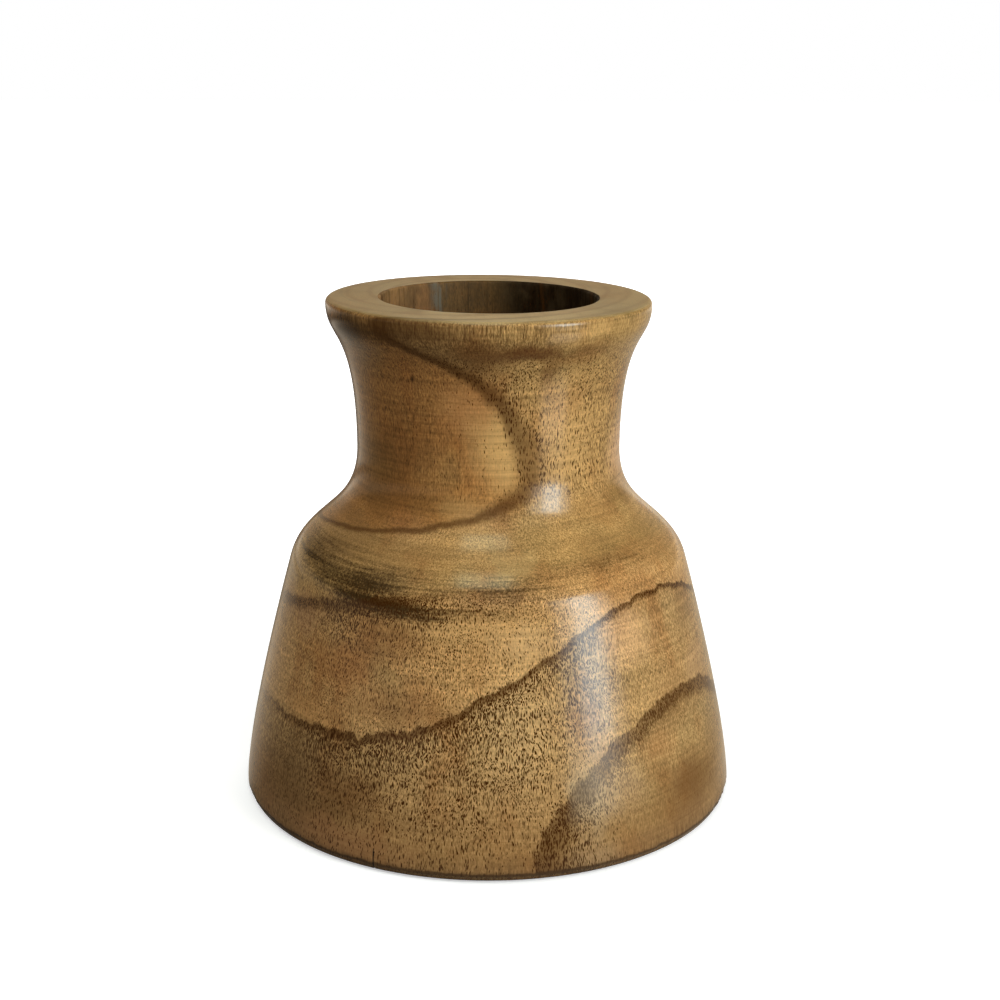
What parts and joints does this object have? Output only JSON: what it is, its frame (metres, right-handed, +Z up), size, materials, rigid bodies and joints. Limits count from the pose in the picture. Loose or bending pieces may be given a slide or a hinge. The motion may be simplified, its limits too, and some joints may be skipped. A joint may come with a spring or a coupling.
{
  "type": "wooden vase",
  "caption": "Turned wooden vase with a wide leaning body, rounded shoulder, narrow neck and flared lip, bored for a lift-out glass liner and standing on a felt base.",
  "frame": {"origin": "on the table, at the middle of the base", "axes": "+Z up along the turning axis; the picture looks along +Y"},
  "size_m": [0.149, 0.149, 0.15],
  "materials": {
    "lacquered_wood": "satin lacquer over bare grain",
    "clear_glass": "clear, fire-polished",
    "felt": "pressed wool felt"
  },
  "bodies": {
    "vase": {"turned_body": "lacquered_wood", "felt_base": "felt"},
    "liner": {"glass_liner": "clear_glass"}
  },
  "joints": [
    {"name": "liner_lift", "type": "slide", "parent": "vase", "child": "liner", "axis": [0, 0, 1], "range_m": [0, 0.14]}
  ]
}
